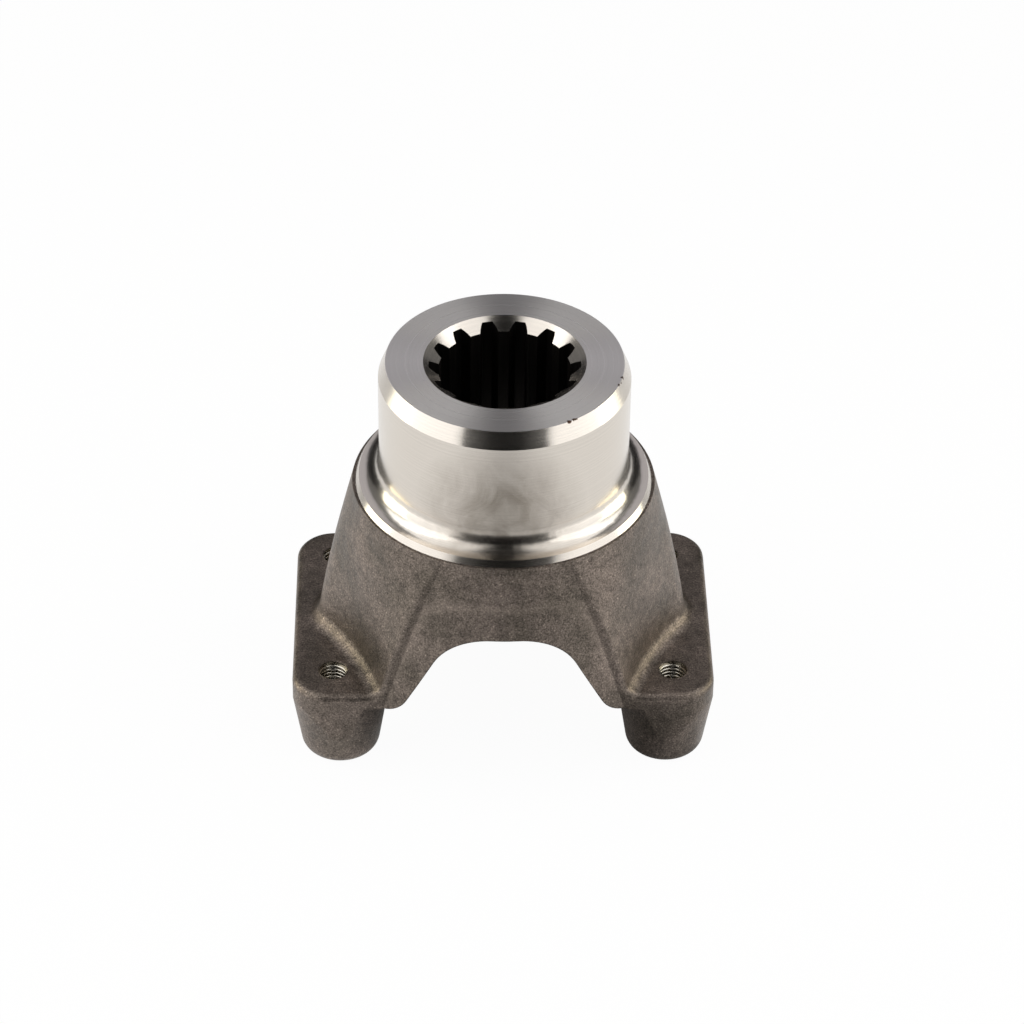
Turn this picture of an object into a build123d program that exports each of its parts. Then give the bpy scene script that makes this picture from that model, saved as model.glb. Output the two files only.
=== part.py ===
"""Half-round end yoke of a truck propeller shaft: one steel forging, turned, splined and tapped.

The origin is on the hub's axis, in the plane of the four boss ends, where the cross's bearing axis
lies. +Z runs up the hub, and +X runs along the bearing seats, from one ear to the other.
"""

from build123d import *
from math import acos, cos, pi, radians, sin, sqrt, tan
import os

# Hub, turned on the outside
overall_height = 162.0
hub_diameter = 99.0
hub_chamfer_width = 2.8
hub_chamfer_height = 6.8
shoulder_depth = 53.5
shoulder_diameter = 118.0
shoulder_bevel_width = 1.4
shoulder_bevel_height = 2.5
shoulder_radius = 8.0
hub_root_depth = 12.0
hub_root_inset = 4.0

# Internal spline, side fit, with involute flanks
spline_teeth = 14
spline_module = 4.0
spline_pressure_angle = 30.0
spline_major_diameter = 59.6
spline_minor_diameter = 52.0
spline_space_width = 6.05
space_run_out = 0.6
mouth_diameter = 63.8
mouth_depth = 3.9

# Recess for the shaft's nut, under the spline
nut_recess_diameter = 68.0
nut_seat_height = 88.0
nut_chamfer_diameter = 62.0
nut_chamfer_depth = 3.0

# Neck, forged: round under the shoulder, with a nose and two hollow flanks over each ear
neck_lip = 1.2
neck_top_drop = 0.4
neck_swell = 1.6
nose_ledge = 8.0
nose_crown_top = 0.6
nose_crown_foot = 3.6
nose_half_width_top = 8.0
nose_half_width_foot = 9.0
ridge_inset = 32.4
flank_reach = 15.5
neck_foot_height = 26.0

# Front and back of the neck: a flared bell between the flanks
bell_drop = 0.6
bell_belly_diameter = 130.0
bell_belly_height = 73.0
bell_foot_diameter = 146.0
bell_foot_drop = 1.0
bell_width_top = 59.0
bell_width_foot = 101.6

# Ears: a slab with a pad on top over each side
ear_span = 169.0
ear_depth = 109.0
ear_corner_radius = 15.0
pad_height = 37.2
slab_thickness = 6.7
pad_edge_radius = 3.0
neck_pad_radius = 5.8

# Bosses below the slab, and the tapped holes through them
bolt_end_distance = 16.4
bolt_side_distance = 17.0
bolt_diameter = 12.0
boss_end_distance = 18.9
boss_side_distance = 17.4
boss_end_diameter = 30.2
boss_end_round = 5.0
boss_draft = 9.0

# Half-round seats for the cross's bearing cups
cup_diameter = 55.5
seat_block_length = 28.0
seat_block_inset = 6.0
seat_block_height = 10.0

# Arch from front to back between the ears, and the dome over it
arch_height = 74.0
arch_top_width = 41.6
arch_foot_width = 87.0
arch_top_radius = 26.0
arch_foot_radius = 17.0
dome_height = 82.0
dome_top_diameter = 90.0
dome_foot_diameter = 99.0
dome_radius = 26.0

shoulder_height = overall_height - shoulder_depth
bevel_height = shoulder_height - shoulder_bevel_height
neck_height = bevel_height - neck_top_drop
neck_radius = shoulder_diameter / 2 + neck_lip
slab_height = pad_height - slab_thickness
front_plane = ear_depth / 2
foot_nose = ear_span / 2 - nose_ledge
bell_foot_height = slab_height - bell_foot_drop
hub_radius = hub_diameter / 2
boss_end_radius = boss_end_diameter / 2
boss_growth = tan(radians(boss_draft))
bolt_spacing_x = ear_span - 2 * bolt_end_distance
bolt_spacing_y = ear_depth - 2 * bolt_side_distance
boss_spacing_x = ear_span - 2 * boss_end_distance
boss_spacing_y = ear_depth - 2 * boss_side_distance
clearance = 1.0
hair = 0.01


def neck_point(top, foot, share):
    """A point of the neck's outline, between its places under the shoulder and at the foot."""
    point = Vector(*top) * (1 - share) + Vector(*foot) * share
    return point + point.normalized() * neck_swell * sin(pi * share)


def neck_quarter(share):
    """A quarter of the neck's outline at one level, with its flank run out past the front."""
    flank_top = neck_radius / 4
    nose = neck_point((neck_radius, 0), (foot_nose, 0), share)
    shoulder = neck_point(
        (neck_radius - nose_crown_top, nose_half_width_top),
        (foot_nose - nose_crown_foot, nose_half_width_foot),
        share,
    )
    end = neck_point(
        (flank_top, sqrt(neck_radius**2 - flank_top**2)),
        (ear_span / 2 - ridge_inset, front_plane + flank_reach),
        share,
    )
    with BuildSketch() as outline:
        with BuildLine():
            nose_arc = TangentArc(nose, shoulder, tangent=(0, 1))
            TangentArc(shoulder, end, tangent=nose_arc % 1)
            Polyline(end, (0, end.Y), (0, 0), nose)
        make_face()
    return outline.sketch


def space_half_angle(radius):
    """Half the angle that a spline space spans at this radius, between involute flanks."""
    pitch_radius = spline_teeth * spline_module / 2
    pitch_angle = radians(spline_pressure_angle)
    angle = acos(pitch_radius * cos(pitch_angle) / radius)
    opened = (tan(pitch_angle) - pitch_angle) - (tan(angle) - angle)
    return spline_space_width / (2 * pitch_radius) + opened


def flank_point(radius, side):
    """A point on one flank of the spline space that is centred on +X."""
    angle = side * space_half_angle(radius)
    return (radius * cos(angle), radius * sin(angle))


with BuildPart() as bell:
    # The flared front and back of the neck, whole, then cut to the width between the ridges
    with BuildSketch(Plane.XZ):
        with BuildLine():
            bell_top = (neck_radius - bell_drop, neck_height)
            bell_foot = (bell_foot_diameter / 2, bell_foot_height)
            ThreePointArc(bell_top, (bell_belly_diameter / 2, bell_belly_height), bell_foot)
            Polyline(bell_foot, (0, bell_foot_height), (0, neck_height), bell_top)
        make_face()
    revolve(axis=Axis.Z)
    with BuildSketch(Plane.XZ):
        with BuildLine():
            Polyline(
                (bell_width_top / 2, neck_height),
                (bell_width_foot / 2, bell_foot_height),
                (-bell_width_foot / 2, bell_foot_height),
                (-bell_width_top / 2, neck_height),
                close=True,
            )
        make_face()
    extrude(amount=ear_depth, both=True, mode=Mode.INTERSECT)

with BuildPart() as boss:
    # A round boss, which narrows downwards to a rounded end
    with BuildSketch(Plane.XZ):
        with BuildLine():
            end_rim = (boss_end_radius - boss_end_round, 0)
            side_foot = (boss_end_radius + boss_end_round * boss_growth, boss_end_round)
            side_top = (boss_end_radius + slab_height * boss_growth, slab_height)
            Bezier(end_rim, (boss_end_radius, 0), side_foot)
            Polyline(side_foot, side_top, (0, slab_height), (0, 0), end_rim)
        make_face()
    revolve(axis=Axis.Z)

with BuildPart() as bosses:
    # All four, cut flush with the ears' outline where they reach it
    with GridLocations(boss_spacing_x, boss_spacing_y, 2, 2):
        add(boss.part)
    with BuildSketch():
        RectangleRounded(ear_span, ear_depth, ear_corner_radius)
    extrude(amount=slab_height, mode=Mode.INTERSECT)

with BuildPart() as forged_yoke:
    # A quarter of the neck, lofted from round to nosed, through a slab that is still too wide
    for share in (0, 0.33, 0.66, 1):
        level = neck_height * (1 - share) + neck_foot_height * share
        with BuildSketch(Plane.XY.offset(level)):
            add(neck_quarter(share))
    loft()
    with BuildSketch(Plane.XY.offset(slab_height)):
        Rectangle(ear_span, 2 * ear_depth, align=(Align.MIN, Align.MIN))
    extrude(amount=slab_thickness)
    seam = forged_yoke.edges().filter_by_position(Axis.Z, pad_height - hair, pad_height + hair)
    fillet(seam.filter_by(GeomType.BSPLINE), neck_pad_radius)

    # Cut to the ears' outline, then one round along the pad's rim and up the neck's ridge
    with BuildSketch(Plane.XY.offset(slab_height)):
        RectangleRounded(ear_span, ear_depth, ear_corner_radius)
    extrude(amount=overall_height, mode=Mode.INTERSECT)
    ridge = forged_yoke.edges().filter_by(GeomType.BSPLINE)
    ridge = ridge.filter_by_position(Axis.Y, front_plane - hair, front_plane + hair)
    rim = forged_yoke.edges().filter_by_position(Axis.Z, pad_height - hair, pad_height + hair)
    rim = rim.filter_by_position(Axis.Y, hair, ear_depth)
    rim = rim.filter_by(GeomType.LINE) + rim.filter_by(GeomType.CIRCLE)
    fillet(ridge + rim, pad_edge_radius)

    # The other three quarters, then the bell between the flanks
    mirror(about=Plane.YZ)
    mirror(about=Plane.XZ)
    add(bell.part)

    # The turned hub, its shoulder and the bevel on the shoulder's rim
    with BuildSketch(Plane.XZ) as hub_profile:
        with BuildLine():
            Polyline(
                (0, bevel_height - hub_root_depth),
                (shoulder_diameter / 2 - hub_root_inset, bevel_height - hub_root_depth),
                (shoulder_diameter / 2, bevel_height),
                (shoulder_diameter / 2 - shoulder_bevel_width, shoulder_height),
                (hub_radius, shoulder_height),
                (hub_radius, overall_height - hub_chamfer_height),
                (hub_radius - hub_chamfer_width, overall_height),
                (0, overall_height),
                close=True,
            )
        make_face()
        shoulder_corner = hub_profile.vertices().sort_by_distance((hub_radius, shoulder_height))[0]
        fillet(shoulder_corner, shoulder_radius)
    revolve(axis=Axis.Z)

    # The arch from front to back, which also trims the bell level with the slabs' undersides
    with BuildSketch(Plane.XZ) as arch:
        with BuildLine():
            Polyline(
                (0, -clearance),
                (arch_foot_width / 2 + arch_foot_radius, -clearance),
                (arch_foot_width / 2 + arch_foot_radius, slab_height),
                (arch_foot_width / 2, slab_height),
                (arch_top_width / 2, arch_height),
                (0, arch_height),
                close=True,
            )
        make_face()
        arch_corner = arch.vertices().sort_by_distance((arch_top_width / 2, arch_height))[0]
        fillet(arch_corner, arch_top_radius)
        foot_corner = arch.vertices().sort_by_distance((arch_foot_width / 2, slab_height))[0]
        fillet(foot_corner, arch_foot_radius)
        mirror(about=Plane.YZ)
    extrude(amount=ear_depth, both=True, mode=Mode.SUBTRACT)

    # The hollow dome inside, under the nut's recess
    with BuildSketch(Plane.XZ) as dome:
        with BuildLine():
            Polyline(
                (0, -clearance),
                (dome_foot_diameter / 2, -clearance),
                (dome_top_diameter / 2, dome_height),
                (0, dome_height),
                close=True,
            )
        make_face()
        dome_corner = dome.vertices().sort_by_distance((dome_top_diameter / 2, dome_height))[0]
        fillet(dome_corner, dome_radius)
    revolve(axis=Axis.Z, mode=Mode.SUBTRACT)

    # The bosses, which narrow to rounded ends, and a block behind each seat from boss to boss
    add(bosses.part)
    with BuildSketch(Plane.XY.offset(slab_height)):
        with GridLocations(ear_span - 2 * seat_block_inset - seat_block_length, 0, 2, 1):
            Rectangle(seat_block_length, boss_spacing_y)
    extrude(amount=seat_block_height - slab_height)

    # The half-round seats for the cross's bearing cups, bored through both ears in one pass
    with BuildSketch(Plane.YZ):
        Circle(cup_diameter / 2)
    extrude(amount=ear_span, both=True, mode=Mode.SUBTRACT)

    # The tapped holes, at their nominal size, through the bosses and the pads
    with BuildSketch():
        with GridLocations(bolt_spacing_x, bolt_spacing_y, 2, 2):
            Circle(bolt_diameter / 2)
    extrude(amount=pad_height + clearance, mode=Mode.SUBTRACT)

    # The bore to the spline's teeth, with the nut's recess below and the chamfered mouth above
    with BuildSketch(Plane.XZ):
        with BuildLine():
            Polyline(
                (0, arch_height),
                (nut_recess_diameter / 2, arch_height),
                (nut_recess_diameter / 2, nut_seat_height),
                (nut_chamfer_diameter / 2, nut_seat_height),
                (spline_minor_diameter / 2, nut_seat_height + nut_chamfer_depth),
                (spline_minor_diameter / 2, overall_height - mouth_depth),
                (mouth_diameter / 2, overall_height),
                (0, overall_height),
                close=True,
            )
        make_face()
    revolve(axis=Axis.Z, mode=Mode.SUBTRACT)

    # The spaces between the spline's teeth, one of them facing +X
    root_radius = spline_major_diameter / 2
    start_radius = spline_minor_diameter / 2 - space_run_out
    middle_radius = (root_radius + start_radius) / 2
    with BuildSketch(Plane.XY.offset(nut_seat_height)):
        with BuildLine():
            ThreePointArc(
                flank_point(start_radius, 1),
                flank_point(middle_radius, 1),
                flank_point(root_radius, 1),
            )
            ThreePointArc(flank_point(root_radius, 1), (root_radius, 0), flank_point(root_radius, -1))
            ThreePointArc(
                flank_point(root_radius, -1),
                flank_point(middle_radius, -1),
                flank_point(start_radius, -1),
            )
            Line(flank_point(start_radius, -1), flank_point(start_radius, 1))
        space = make_face(mode=Mode.PRIVATE)
        with PolarLocations(0, spline_teeth):
            add(space)
    extrude(amount=overall_height, mode=Mode.SUBTRACT)

forged_yoke.part.label = "forged_yoke"
os.makedirs("parts", exist_ok=True)
export_step(forged_yoke.part, "parts/forged_yoke.step")
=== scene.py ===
"""Half-round end yoke of a truck propeller shaft, in bare shot-blasted and turned steel."""

import math

import bpy
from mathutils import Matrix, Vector


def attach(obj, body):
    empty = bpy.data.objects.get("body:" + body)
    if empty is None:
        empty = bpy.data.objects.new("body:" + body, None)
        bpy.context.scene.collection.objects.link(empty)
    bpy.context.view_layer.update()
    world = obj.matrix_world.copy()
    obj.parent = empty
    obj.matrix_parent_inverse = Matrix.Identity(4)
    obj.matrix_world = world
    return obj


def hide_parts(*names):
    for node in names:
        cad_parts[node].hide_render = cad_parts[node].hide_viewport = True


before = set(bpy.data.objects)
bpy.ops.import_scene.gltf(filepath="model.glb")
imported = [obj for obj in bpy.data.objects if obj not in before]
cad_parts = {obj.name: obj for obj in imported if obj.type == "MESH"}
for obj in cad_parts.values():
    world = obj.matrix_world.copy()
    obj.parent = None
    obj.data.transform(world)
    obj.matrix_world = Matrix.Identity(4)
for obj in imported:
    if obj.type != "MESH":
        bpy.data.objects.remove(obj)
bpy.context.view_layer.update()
bpy.ops.object.select_all(action="DESELECT")

# The forging: one piece of medium-carbon steel, hammered in closed dies, trimmed and shot-blasted,
# then turned, broached, bored and tapped. It is a merged copy of the CAD solid, so that its curved
# faces shade as one surface, and each kind of machined face gets a finish of its own.
merge_distance = 0.000002
crease_angle = math.radians(15)
cad_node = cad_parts["forged_yoke"]
forging = bpy.data.objects.new("forging", cad_node.data.copy())
bpy.context.scene.collection.objects.link(forging)
bpy.context.view_layer.objects.active = forging
forging.select_set(True)
bpy.ops.object.mode_set(mode="EDIT")
bpy.ops.mesh.select_all(action="SELECT")
bpy.ops.mesh.remove_doubles(threshold=merge_distance)
bpy.ops.mesh.select_all(action="DESELECT")
bpy.ops.object.mode_set(mode="OBJECT")
bpy.ops.mesh.customdata_custom_splitnormals_clear()
bpy.ops.object.shade_smooth_by_angle(angle=crease_angle)
bpy.ops.object.modifier_add(type="WEIGHTED_NORMAL")
forging.modifiers["WeightedNormal"].keep_sharp = True
bpy.ops.object.modifier_apply(modifier="WeightedNormal")
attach(forging, "root")
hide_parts("forged_yoke")


def hex_colour(code):
    """Turns an sRGB hex code into the linear colour that Blender's sockets take."""
    channels = [int(code[place : place + 2], 16) / 255 for place in (0, 2, 4)]
    linear = [c / 12.92 if c <= 0.04045 else ((c + 0.055) / 1.055) ** 2.4 for c in channels]
    return (*linear, 1.0)


# A Mix node for colours takes its factor at input 0 and its colours at 6 and 7, and gives the result
# at output 2. A node's other inputs go by their names, or by 0, 1 and 2 where these are all alike.
def add_node(tree, kind, inputs={}, **settings):
    """Adds a node; each input is a value, or the output socket of another node."""
    new = tree.nodes.new(kind)
    for name, value in settings.items():
        setattr(new, name, value)
    for name, value in inputs.items():
        if isinstance(value, bpy.types.NodeSocket):
            tree.links.new(value, new.inputs[name])
        else:
            new.inputs[name].default_value = value
    return new


def new_material(name):
    """An empty material, its node tree and its Object coordinates."""
    material = bpy.data.materials.new(name)
    material.use_nodes = True
    material.node_tree.nodes.clear()
    place = add_node(material.node_tree, "ShaderNodeTexCoord").outputs["Object"]
    return material, material.node_tree, place


# Shot-blasted forging skin: brown-grey steel, peened all over by shot of under a millimetre. The
# dimples give it a fine dull grain, and some single grains are painted lighter as glints. The scale that
# came off leaves blotches and soft clouds, handling has worn the edges, and a lighter line along the
# arch is a painted highlight.
forged_skin, tree, place = new_material("shot_blasted_forged_steel")
grain_size = 0.0007
mark_size = 0.0035
cloud_size = 0.02
clouds = add_node(
    tree,
    "ShaderNodeTexNoise",
    {"Vector": place, "Scale": 1 / cloud_size, "Detail": 4.0},
)
grain = add_node(
    tree,
    "ShaderNodeTexNoise",
    {"Vector": place, "Scale": 1 / grain_size, "Detail": 2.0},
)
scale_marks = add_node(
    tree,
    "ShaderNodeTexNoise",
    {"Vector": place, "Scale": 1 / mark_size, "Detail": 5.0, "Roughness": 0.7},
)
dimples = add_node(
    tree,
    "ShaderNodeMapRange",
    {"Value": grain.outputs["Fac"], "From Min": 0.3, "From Max": 0.7, "To Min": 0.5, "To Max": 1.5},
)
blotches = add_node(
    tree,
    "ShaderNodeMapRange",
    {
        "Value": scale_marks.outputs["Fac"],
        "From Min": 0.35,
        "From Max": 0.65,
        "To Min": 0.75,
        "To Max": 1.25,
    },
)
# Painted glints: the grains above 0.68 get extra lightness in the colour, standing in for light glinting
# off burnished peaks.
painted_glint_grains = add_node(
    tree,
    "ShaderNodeMapRange",
    {"Value": grain.outputs["Fac"], "From Min": 0.68, "From Max": 0.76, "To Min": 0.0, "To Max": 1.3},
)
peened = add_node(
    tree,
    "ShaderNodeMath",
    {0: dimples.outputs["Result"], 1: blotches.outputs["Result"]},
    operation="MULTIPLY",
)
sparkle = add_node(
    tree,
    "ShaderNodeMath",
    {0: painted_glint_grains.outputs["Result"], 1: peened.outputs[0]},
    operation="ADD",
)

# The painted highlight is a lighter line, standing in for the light caught by a low step round the
# arch. It keeps the same distance from the arch's leaning sides and from its top, and it fades out just
# above the pads.
arch_height = 0.074
arch_half_top = 0.0208
arch_half_foot = 0.0435
arch_rounding = 0.02
arch_lean = (arch_half_foot - arch_half_top) / arch_height
line_distance = 0.0135
line_half_width = 0.003
line_lightness = 0.35
line_foot = 0.038
line_full = 0.05
part_place = add_node(tree, "ShaderNodeSeparateXYZ", {"Vector": place})
aside = add_node(tree, "ShaderNodeMath", {0: part_place.outputs["X"]}, operation="ABSOLUTE")
arch_side = add_node(
    tree,
    "ShaderNodeMath",
    {0: part_place.outputs["Z"], 1: -arch_lean, 2: arch_half_top + arch_height * arch_lean},
    operation="MULTIPLY_ADD",
)
from_side = add_node(
    tree,
    "ShaderNodeMath",
    {0: aside.outputs[0], 1: arch_side.outputs[0]},
    operation="SUBTRACT",
)
from_top = add_node(
    tree,
    "ShaderNodeMath",
    {0: part_place.outputs["Z"], 1: arch_height},
    operation="SUBTRACT",
)
from_arch = add_node(
    tree,
    "ShaderNodeMath",
    {0: from_side.outputs[0], 1: from_top.outputs[0], 2: arch_rounding},
    operation="SMOOTH_MAX",
)
past_line = add_node(
    tree,
    "ShaderNodeMath",
    {0: from_arch.outputs[0], 1: line_distance},
    operation="SUBTRACT",
)
off_line = add_node(tree, "ShaderNodeMath", {0: past_line.outputs[0]}, operation="ABSOLUTE")
line_glow = add_node(
    tree,
    "ShaderNodeMapRange",
    {
        "Value": off_line.outputs[0],
        "From Min": 0.0,
        "From Max": line_half_width,
        "To Min": line_lightness,
        "To Max": 0.0,
    },
)
above_pads = add_node(
    tree,
    "ShaderNodeMapRange",
    {"Value": part_place.outputs["Z"], "From Min": line_foot, "From Max": line_full},
)
painted_arch_highlight = add_node(
    tree,
    "ShaderNodeMath",
    {0: line_glow.outputs["Result"], 1: above_pads.outputs["Result"]},
    operation="MULTIPLY",
)
lightness = add_node(
    tree,
    "ShaderNodeMath",
    {0: sparkle.outputs[0], 1: painted_arch_highlight.outputs[0]},
    operation="ADD",
)

cloud_share = add_node(
    tree,
    "ShaderNodeMapRange",
    {"Value": clouds.outputs["Fac"], "From Min": 0.35, "From Max": 0.65},
)
cloud_colour = add_node(
    tree,
    "ShaderNodeMix",
    {0: cloud_share.outputs["Result"], 6: hex_colour("5F574F"), 7: hex_colour("7A6F67")},
    data_type="RGBA",
)
skin_colour = add_node(
    tree,
    "ShaderNodeVectorMath",
    {0: cloud_colour.outputs[2], "Scale": lightness.outputs[0]},
    operation="SCALE",
)
skin_roughness = add_node(
    tree,
    "ShaderNodeMapRange",
    {"Value": clouds.outputs["Fac"], "From Min": 0.3, "From Max": 0.7, "To Min": 0.36, "To Max": 0.5},
)
worn_edge = add_node(tree, "ShaderNodeBevel", {"Radius": 0.0006}, samples=4)
skin_waves = add_node(
    tree,
    "ShaderNodeBump",
    {
        "Height": clouds.outputs["Fac"],
        "Strength": 0.5,
        "Distance": 0.002,
        "Normal": worn_edge.outputs[0],
    },
)
skin_bump = add_node(
    tree,
    "ShaderNodeBump",
    {
        "Height": grain.outputs["Fac"],
        "Strength": 0.45,
        "Distance": 0.0004,
        "Normal": skin_waves.outputs["Normal"],
    },
)
skin = add_node(
    tree,
    "ShaderNodeBsdfPrincipled",
    {
        "Base Color": skin_colour.outputs["Vector"],
        "Metallic": 0.85,
        "Roughness": skin_roughness.outputs["Result"],
        "Normal": skin_bump.outputs["Normal"],
    },
)
add_node(tree, "ShaderNodeOutputMaterial", {"Surface": skin.outputs["BSDF"]})

# Nicks: small knocks on the sharp rim between the hub's end and its chamfer, gone rust-brown. Each
# is a ragged spot at its own angle round the hub, in degrees from +X, and it crosses both finishes.
nick_angles = (-59, -57.8, -56.6, -55.5, -20, -18, -16, -13)
nick_reach = 0.0006
nick_crumb = 0.0015
rim_radius = 0.0467
rim_level = 0.1618


def nicked(tree, place, colour):
    """Darkens a colour in the nicks along the rim of the hub's end."""
    crumbs = add_node(
        tree,
        "ShaderNodeTexNoise",
        {"Vector": place, "Scale": 1 / nick_crumb, "Detail": 1.0},
    )
    ragged = add_node(
        tree,
        "ShaderNodeMapRange",
        {
            "Value": crumbs.outputs["Fac"],
            "From Min": 0.3,
            "From Max": 0.7,
            "To Min": -nick_reach,
            "To Max": nick_reach,
        },
    )
    for angle in nick_angles:
        turn = math.radians(angle)
        centre = (rim_radius * math.cos(turn), rim_radius * math.sin(turn), rim_level)
        away = add_node(tree, "ShaderNodeVectorMath", {0: place, 1: centre}, operation="DISTANCE")
        depth = add_node(
            tree,
            "ShaderNodeMath",
            {0: away.outputs["Value"], 1: ragged.outputs["Result"]},
            operation="ADD",
        )
        cover = add_node(
            tree,
            "ShaderNodeMapRange",
            {
                "Value": depth.outputs[0],
                "From Min": 0.6 * nick_reach,
                "From Max": 1.4 * nick_reach,
                "To Min": 1.0,
                "To Max": 0.0,
            },
        )
        mixed = add_node(
            tree,
            "ShaderNodeMix",
            {0: cover.outputs["Result"], 6: colour, 7: hex_colour("4C3A30")},
            data_type="RGBA",
        )
        colour = mixed.outputs[2]
    return colour


# Turned steel: the hub's outside, shoulder and chamfers, cut on a lathe and left bright. In a cloudy
# patch on the hub's front, where it faces the camera, it is darker and rougher. Its feed marks run
# round the hub, so reflections smear along it. The real marks are 0.2 mm apart, too fine to show, so
# they are drawn at 0.5 mm.
turned_steel, tree, place = new_material("turned_steel")
feed_mark = 0.0005
front_patch_centre = (-0.002, -0.049, 0.122)
front_patch_reach = 0.036
swirl_size = 0.02
round_the_hub = add_node(
    tree,
    "ShaderNodeVectorMath",
    {0: (0.0, 0.0, 1.0), 1: place},
    operation="CROSS_PRODUCT",
)
flat_place = add_node(
    tree,
    "ShaderNodeVectorMath",
    {0: place, 1: (1.0, 1.0, 0.0)},
    operation="MULTIPLY",
)
radius = add_node(tree, "ShaderNodeVectorMath", {0: flat_place.outputs["Vector"]}, operation="LENGTH")
height = add_node(tree, "ShaderNodeSeparateXYZ", {"Vector": place})
along = add_node(
    tree,
    "ShaderNodeMath",
    {0: radius.outputs["Value"], 1: height.outputs["Z"]},
    operation="SUBTRACT",
)
marks = add_node(
    tree,
    "ShaderNodeTexNoise",
    {"W": along.outputs[0], "Scale": 1 / feed_mark, "Detail": 3.0},
    noise_dimensions="1D",
)
swirls = add_node(
    tree,
    "ShaderNodeTexNoise",
    {"Vector": place, "Scale": 1 / swirl_size, "Detail": 8.0, "Roughness": 0.65, "Distortion": 1.2},
)
# A cloudy patch on the hub's front, where it faces the camera, is made darker and rougher.
from_front_patch = add_node(
    tree,
    "ShaderNodeVectorMath",
    {0: place, 1: front_patch_centre},
    operation="DISTANCE",
)
front_patch_area = add_node(
    tree,
    "ShaderNodeMapRange",
    {
        "Value": from_front_patch.outputs["Value"],
        "From Min": 0.3 * front_patch_reach,
        "From Max": front_patch_reach,
        "To Min": 1.0,
        "To Max": 0.0,
    },
)
front_patch_cloud = add_node(
    tree,
    "ShaderNodeMapRange",
    {"Value": swirls.outputs["Fac"], "From Min": 0.3, "From Max": 0.7, "To Min": 0.3, "To Max": 1.0},
)
front_patch = add_node(
    tree,
    "ShaderNodeMath",
    {0: front_patch_area.outputs["Result"], 1: front_patch_cloud.outputs["Result"]},
    operation="MULTIPLY",
)
steel_colour = add_node(
    tree,
    "ShaderNodeMix",
    {0: front_patch.outputs[0], 6: hex_colour("D6CFC6"), 7: hex_colour("8C8378")},
    data_type="RGBA",
)
mark_lightness = add_node(
    tree,
    "ShaderNodeMapRange",
    {"Value": marks.outputs["Fac"], "From Min": 0.3, "From Max": 0.7, "To Min": 0.93, "To Max": 1.05},
)
marked_colour = add_node(
    tree,
    "ShaderNodeVectorMath",
    {0: steel_colour.outputs[2], "Scale": mark_lightness.outputs["Result"]},
    operation="SCALE",
)
mark_roughness = add_node(
    tree,
    "ShaderNodeMapRange",
    {"Value": marks.outputs["Fac"], "From Min": 0.3, "From Max": 0.7, "To Min": 0.17, "To Max": 0.23},
)
front_patch_roughness = 0.06
turned_roughness = add_node(
    tree,
    "ShaderNodeMath",
    {0: front_patch.outputs[0], 1: front_patch_roughness, 2: mark_roughness.outputs["Result"]},
    operation="MULTIPLY_ADD",
)
turned = add_node(
    tree,
    "ShaderNodeBsdfPrincipled",
    {
        "Base Color": nicked(tree, place, marked_colour.outputs["Vector"]),
        "Metallic": 1.0,
        "Roughness": turned_roughness.outputs[0],
        "Anisotropic": 0.7,
        "Anisotropic Rotation": 0.25,
        "Tangent": round_the_hub.outputs["Vector"],
    },
)
add_node(tree, "ShaderNodeOutputMaterial", {"Surface": turned.outputs["BSDF"]})

# Faced steel: the hub's end, cut in rings by a tool that moves in to the bore. The rings spread each
# reflection inwards and outwards, so the face stays an even grey. The real rings are about 0.3 mm
# apart, too fine to show, so they are drawn at 0.7 mm.
faced_steel, tree, place = new_material("faced_steel")
face_feed = 0.0007
round_the_hub = add_node(
    tree,
    "ShaderNodeVectorMath",
    {0: (0.0, 0.0, 1.0), 1: place},
    operation="CROSS_PRODUCT",
)
flat_place = add_node(
    tree,
    "ShaderNodeVectorMath",
    {0: place, 1: (1.0, 1.0, 0.0)},
    operation="MULTIPLY",
)
radius = add_node(tree, "ShaderNodeVectorMath", {0: flat_place.outputs["Vector"]}, operation="LENGTH")
rings = add_node(
    tree,
    "ShaderNodeTexNoise",
    {"W": radius.outputs["Value"], "Scale": 1 / face_feed, "Detail": 3.0},
    noise_dimensions="1D",
)
ring_roughness = add_node(
    tree,
    "ShaderNodeMapRange",
    {"Value": rings.outputs["Fac"], "From Min": 0.3, "From Max": 0.7, "To Min": 0.27, "To Max": 0.35},
)
faced = add_node(
    tree,
    "ShaderNodeBsdfPrincipled",
    {
        "Base Color": nicked(tree, place, hex_colour("CFCCC8")),
        "Metallic": 1.0,
        "Roughness": ring_roughness.outputs["Result"],
        "Anisotropic": 0.95,
        "Anisotropic Rotation": 0.25,
        "Tangent": round_the_hub.outputs["Vector"],
    },
)
add_node(tree, "ShaderNodeOutputMaterial", {"Surface": faced.outputs["BSDF"]})

# Broached steel: the spline's teeth and the nut's recess, wet with cutting oil. Almost no light
# reaches them, so their colour is painted near-black as shade, and the bore reads as a black star in
# the bright hub. The broach draws streaks down the teeth, which are finer in truth, and are drawn at
# 1.2 mm so that they show.
painted_shade_broached_steel, tree, place = new_material("broached_steel_painted_shade")
streak_width = 0.0012
drawn_out = add_node(
    tree,
    "ShaderNodeVectorMath",
    {0: place, 1: (1.0, 1.0, 0.03)},
    operation="MULTIPLY",
)
streaks = add_node(
    tree,
    "ShaderNodeTexNoise",
    {"Vector": drawn_out.outputs["Vector"], "Scale": 1 / streak_width, "Detail": 2.0},
)
streak_roughness = add_node(
    tree,
    "ShaderNodeMapRange",
    {"Value": streaks.outputs["Fac"], "From Min": 0.3, "From Max": 0.7, "To Min": 0.3, "To Max": 0.5},
)
# The near-black base colour is painted shade for the deep bore and the recess.
broached = add_node(
    tree,
    "ShaderNodeBsdfPrincipled",
    {
        "Base Color": hex_colour("2A2725"),
        "Metallic": 0.9,
        "Roughness": streak_roughness.outputs["Result"],
    },
)
add_node(tree, "ShaderNodeOutputMaterial", {"Surface": broached.outputs["BSDF"]})

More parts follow.
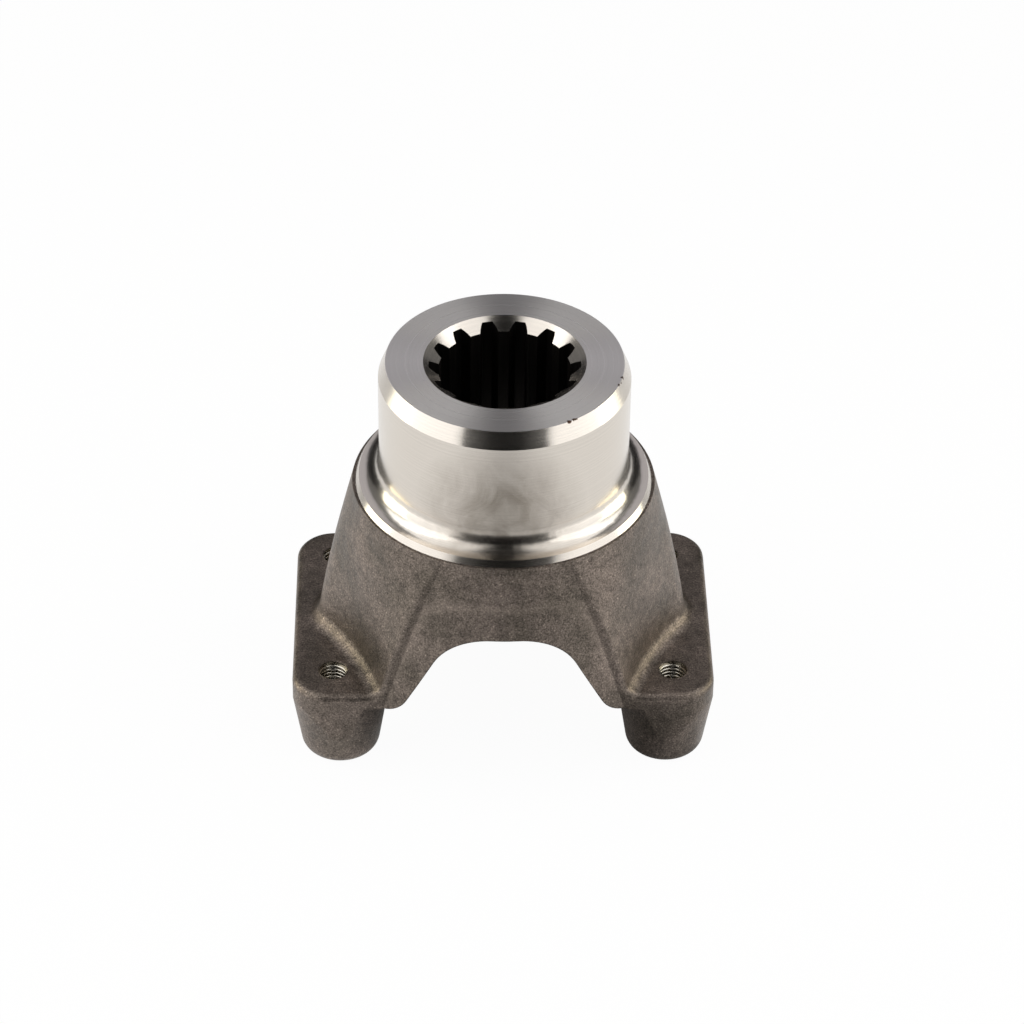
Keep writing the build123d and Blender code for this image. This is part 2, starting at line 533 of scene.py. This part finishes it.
# Bored and tapped steel: the cups' seats, the bolt holes and their threads, cut after forging and
# left wet with oil. It is bright and smooth, so its edges catch the light.
tapped_steel, tree, place = new_material("oiled_tapped_steel")
tapped = add_node(
    tree,
    "ShaderNodeBsdfPrincipled",
    {"Base Color": hex_colour("C6C0B4"), "Metallic": 1.0, "Roughness": 0.24},
)
add_node(tree, "ShaderNodeOutputMaterial", {"Surface": tapped.outputs["BSDF"]})

# Each face of the forging gets its finish by its place. The levels and radii are the CAD's own, each
# moved a little outwards so that rounding leaves no face out.
hub_top = 0.1619
shoulder_foot = 0.10595
mouth_foot = 0.1580
mouth_reach = 0.0325
tooth_reach = 0.0302
nut_seat = 0.0879
recess_foot = 0.073
recess_reach = 0.0345
cup_seat_inside = 0.05
cup_seat_reach = 0.0279
bolt_hole = Vector((0.0681, 0.0375))
bolt_hole_reach = 0.0061
finishes = [forged_skin, turned_steel, painted_shade_broached_steel, tapped_steel, faced_steel]
forging.data.materials.clear()
for finish in finishes:
    forging.data.materials.append(finish)
for face in forging.data.polygons:
    corners = [forging.data.vertices[index].co for index in face.vertices]
    radii = [math.hypot(co.x, co.y) for co in corners]
    from_cross = [math.hypot(co.y, co.z) for co in corners]
    from_bolt = [(Vector((abs(co.x), abs(co.y))) - bolt_hole).length for co in corners]
    lowest = min(co.z for co in corners)
    finish = forged_skin
    if lowest > shoulder_foot:
        finish = faced_steel if lowest > hub_top else turned_steel
    if lowest > nut_seat and max(radii) < mouth_reach and min(radii) < tooth_reach:
        on_mouth_cone = lowest > mouth_foot and face.normal.z > 0.3
        finish = turned_steel if on_mouth_cone else painted_shade_broached_steel
    if recess_foot < lowest < nut_seat and max(radii) < recess_reach:
        finish = painted_shade_broached_steel
    if abs(corners[0].x) > cup_seat_inside and max(from_cross) < cup_seat_reach:
        finish = tapped_steel
    if max(from_bolt) < bolt_hole_reach:
        finish = tapped_steel
    face.material_index = finishes.index(finish)

# The threads: one coarse M12 helix in each of the four bolt holes, cut by a tap through boss and pad.
# The CAD's plain bore is the thread's outer diameter, so the ridge stands inwards from it to the core
# diameter, and 0.03 mm into the steel so that no gap shows.
pitch = 0.00175
core_radius = 0.00505
bore_radius = 0.00603
ridge_height = 0.0016
ridge_crest = 0.25
thread_start = 0.0004
pad_level = 0.0372
thread_turns = int((pad_level - thread_start) / pitch) - 1
steps_per_turn = 28
closing_distance = 0.00001
holes = {
    "right_back": (bolt_hole.x, bolt_hole.y),
    "right_front": (bolt_hole.x, -bolt_hole.y),
    "left_back": (-bolt_hole.x, bolt_hole.y),
    "left_front": (-bolt_hole.x, -bolt_hole.y),
}


def wound(inner, outer, height, inner_share, turns, climb):
    """A four-sided section on the ground, narrowed inside, wound round Z and climbing as it goes.

    One turn with no climb closes into a ring, and a climbing one gets a cap at each end.
    """
    bpy.ops.object.select_all(action="DESELECT")
    middle = ((inner + outer) / 2, 0.0, height / 2)
    upright = (math.radians(-90), 0.0, 0.0)
    bpy.ops.mesh.primitive_plane_add(size=1, calc_uvs=False, location=middle, rotation=upright)
    winding = bpy.context.object
    winding.scale = (outer - inner, height, 1.0)
    bpy.ops.object.transform_apply(location=True, rotation=True, scale=True)
    bpy.ops.object.mode_set(mode="EDIT")
    bpy.ops.mesh.select_mode(type="VERT")
    bpy.ops.mesh.select_all(action="DESELECT")
    bpy.ops.object.mode_set(mode="OBJECT")
    for corner in winding.data.vertices:
        corner.select = corner.co.x < middle[0]
    bpy.ops.object.mode_set(mode="EDIT")
    bpy.ops.transform.resize(value=(1.0, 1.0, inner_share), center_override=(inner, 0.0, middle[2]))
    bpy.ops.mesh.select_all(action="SELECT")
    bpy.ops.mesh.delete(type="ONLY_FACE")
    bpy.ops.object.mode_set(mode="OBJECT")
    bpy.ops.object.modifier_add(type="SCREW")
    screw = winding.modifiers["Screw"]
    screw.iterations = turns
    screw.screw_offset = climb
    screw.steps = steps_per_turn
    screw.render_steps = steps_per_turn
    screw.use_merge_vertices = climb == 0
    screw.merge_threshold = closing_distance
    bpy.ops.object.modifier_apply(modifier="Screw")
    bpy.ops.object.mode_set(mode="EDIT")
    bpy.ops.mesh.select_mode(type="EDGE")
    bpy.ops.mesh.select_all(action="DESELECT")
    bpy.ops.mesh.select_non_manifold()
    if climb:
        bpy.ops.mesh.edge_face_add()
    bpy.ops.mesh.select_all(action="SELECT")
    bpy.ops.mesh.normals_make_consistent(inside=False)
    bpy.ops.mesh.select_all(action="DESELECT")
    bpy.ops.object.mode_set(mode="OBJECT")
    return winding


def placed_copy(model, name, place):
    """A copy of a model, with a mesh of its own that holds its place."""
    piece = model.copy()
    piece.name = name
    piece.data = model.data.copy()
    piece.data.name = name
    bpy.context.scene.collection.objects.link(piece)
    bpy.ops.object.select_all(action="DESELECT")
    bpy.context.view_layer.objects.active = piece
    piece.select_set(True)
    piece.location = place
    bpy.ops.object.transform_apply(location=True)
    return piece


model = wound(core_radius, bore_radius, ridge_height, ridge_crest, thread_turns, pitch)
model.data.materials.append(tapped_steel)
for hole, (x, y) in holes.items():
    thread = placed_copy(model, "thread_" + hole, (x, y, thread_start))
    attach(thread, "root")
bpy.data.objects.remove(model)

# The holes' rims: the feather edge of each thread's first turn, level with the pad. It is a rim of
# the forging's own steel that still has its blasted skin, so each hole opens with a thin dull ring.
feather_radius = 0.0056
feather_thickness = 0.0003
model = wound(feather_radius, bore_radius, feather_thickness, 1.0, 1, 0.0)
model.data.materials.append(forged_skin)
for hole, (x, y) in holes.items():
    hole_rim = placed_copy(model, "hole_rim_" + hole, (x, y, pad_level - feather_thickness))
    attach(hole_rim, "root")
bpy.data.objects.remove(model)

# The floor: white paper, which fills the photograph's background. It shows its own white to the
# camera and to the steel, and its matt share takes a faint shadow.
paper_glow = 0.96
bpy.ops.mesh.primitive_plane_add(size=12, location=(0, 0, 0))
paper = bpy.context.object
paper.name = "paper"
white_paper, tree, place = new_material("white_paper")
rays = add_node(tree, "ShaderNodeLightPath")
seen_or_mirrored = add_node(
    tree,
    "ShaderNodeMath",
    {0: rays.outputs["Is Camera Ray"], 1: rays.outputs["Is Glossy Ray"]},
    operation="ADD",
)
seen = add_node(
    tree,
    "ShaderNodeMath",
    {0: seen_or_mirrored.outputs[0], 1: rays.outputs["Is Transmission Ray"]},
    operation="ADD",
    use_clamp=True,
)
glow_share = add_node(tree, "ShaderNodeMath", {0: seen.outputs[0], 1: paper_glow}, operation="MULTIPLY")
paper_light = add_node(tree, "ShaderNodeEmission", {"Color": hex_colour("FFFFFF"), "Strength": 1.0})
paper_matt = add_node(tree, "ShaderNodeBsdfDiffuse", {"Color": hex_colour("F4F4F4")})
paper_mix = add_node(
    tree,
    "ShaderNodeMixShader",
    {0: glow_share.outputs[0], 1: paper_matt.outputs[0], 2: paper_light.outputs[0]},
)
add_node(tree, "ShaderNodeOutputMaterial", {"Surface": paper_mix.outputs[0]})
paper.data.materials.append(white_paper)

# The studio: a dim room with a tent of soft light. On each side stand a long wall in front, a warm
# strip behind, a leaning panel high up and a roof panel, and a weak light hangs far behind. The
# right side is a twentieth weaker than the left.
room_glow = 0.16
world = bpy.data.worlds.new("studio")
bpy.context.scene.world = world
world.use_nodes = True
room = world.node_tree
room.nodes.clear()
room_light = add_node(room, "ShaderNodeBackground", {"Color": hex_colour("FFFFFF"), "Strength": room_glow})
add_node(room, "ShaderNodeOutputWorld", {"Surface": room_light.outputs[0]})


def softbox(name, place, target, size, glow, tint="FFFFFF"):
    """A rectangular area lamp that faces its target; its glow is the white it shows in a mirror."""
    lamp = bpy.data.lights.new(name, "AREA")
    lamp.shape = "RECTANGLE"
    lamp.size, lamp.size_y = size
    lamp.color = hex_colour(tint)[:3]
    lamp.energy = glow * math.pi * size[0] * size[1]
    box = bpy.data.objects.new(name, lamp)
    bpy.context.scene.collection.objects.link(box)
    box.location = place
    box.rotation_euler = (Vector(target) - Vector(place)).to_track_quat("-Z", "Y").to_euler()


for name, side, level in (("left", -1, 1.0), ("right", 1, 0.95)):
    wall = (side * 1.0, -0.7, 0.4)
    strip = (side * 1.0, 0.22, 0.3)
    panel = (side * 0.86, -0.2, 0.95)
    roof = (side * 0.48, -0.2, 1.1)
    under_roof = (side * 0.48, -0.2, 0)
    softbox("softbox_side_" + name, wall, (0, -0.7, 0.3), (1.4, 0.8), 1.3 * level)
    softbox("softbox_rear_" + name, strip, (0, 0.22, 0.2), (0.5, 0.6), 3.8 * level, "FBF6DE")
    softbox("softbox_high_" + name, panel, (0, -0.2, 0.1), (1.4, 0.45), 1.8 * level)
    softbox("softbox_roof_" + name, roof, under_roof, (0.6, 1.3), 1.2 * level)
softbox("softbox_back", (0, 1.4, 1.1), (0, 0, 0.1), (1.8, 1.0), 0.45, "F6F3FC")


# Black cloths stand between the lights and lie on the floor, and draw the dark bands that the bright
# steel mirrors: in front, in the slit of the roof, low behind, and on the floor in front of the foot.
# Two more sheets at the foot are painted shade, darkening what the steel mirrors under the arch and
# by the right boss.
def flag(name, place, size, tilt, fade_start, fade_end, strength):
    """A black cloth, or a sheet of painted shade, that only mirrors see, faded out towards its sides, in
    widths from its middle.
    """
    bpy.ops.mesh.primitive_plane_add(size=1, location=place, rotation=(math.radians(tilt), 0, 0))
    cloth = bpy.context.object
    cloth.name = name
    cloth.scale = (size[0], size[1], 1)
    black_cloth, tree, spot = new_material(name + "_cloth")
    across = add_node(tree, "ShaderNodeSeparateXYZ", {"Vector": spot})
    aside = add_node(tree, "ShaderNodeMath", {0: across.outputs["X"]}, operation="ABSOLUTE")
    cover = add_node(
        tree,
        "ShaderNodeMapRange",
        {
            "Value": aside.outputs[0],
            "From Min": fade_start,
            "From Max": fade_end,
            "To Min": strength,
            "To Max": 0.0,
        },
    )
    clear = add_node(tree, "ShaderNodeBsdfTransparent")
    black = add_node(tree, "ShaderNodeBsdfDiffuse", {"Color": hex_colour("000000")})
    mix = add_node(
        tree,
        "ShaderNodeMixShader",
        {0: cover.outputs["Result"], 1: clear.outputs[0], 2: black.outputs[0]},
    )
    add_node(tree, "ShaderNodeOutputMaterial", {"Surface": mix.outputs[0]})
    cloth.data.materials.append(black_cloth)
    cloth.visible_camera = False
    cloth.visible_diffuse = False
    cloth.visible_shadow = False


flag("flag_front", (0, -0.9, 0.45), (2.1, 1.0), 90, 0.1, 0.4, 1.0)
flag("flag_over", (0, -0.35, 1.0), (0.5, 1.2), 0, 0.15, 0.5, 1.0)
flag("flag_behind", (0, 0.5, 1.02), (0.36, 0.9), 0, 0.1, 0.5, 0.8)
flag("flag_back_low", (0, 1.0, 0.27), (3.0, 0.6), 90, 0.49, 0.5, 0.9)
flag("flag_low", (0, -0.5, 0.003), (0.5, 0.85), 0, 0.05, 0.35, 0.32)
flag("flag_low_front", (0, -2.4, 0.003), (2.2, 2.9), 0, 0.1, 0.5, 0.9)
flag("flag_far", (0, 1.4, 0.003), (4.0, 2.0), 0, 0.49, 0.5, 0.85)
# Painted shade: black sheets under the arch and in front of the right boss stand in for the floor's shadow
# there, which the glowing paper doesn't show to the steel.
flag("shade_under_arch", (0.01, -0.02, 0.001), (0.15, 0.16), 0, 0.3, 0.5, 0.85)
flag("shade_right", (0.07, -0.08, 0.002), (0.1, 0.07), 0, 0.3, 0.5, 0.3)

# The camera stands where the photograph was taken: 1.6 m away, 37 degrees above the floor, and a
# hair to the left. Its long lens keeps the yoke's upright edges nearly parallel.
camera = bpy.data.objects.new("camera", bpy.data.cameras.new("camera"))
bpy.context.scene.collection.objects.link(camera)
camera.data.lens = 138.1
camera.data.sensor_width = 36.0
camera.location = (-0.0265, -1.2519, 1.0421)
camera.rotation_euler = [math.radians(angle) for angle in (52.6996, -0.6032, -0.9157)]
bpy.context.scene.camera = camera
bpy.context.scene.view_settings.view_transform = "Standard"
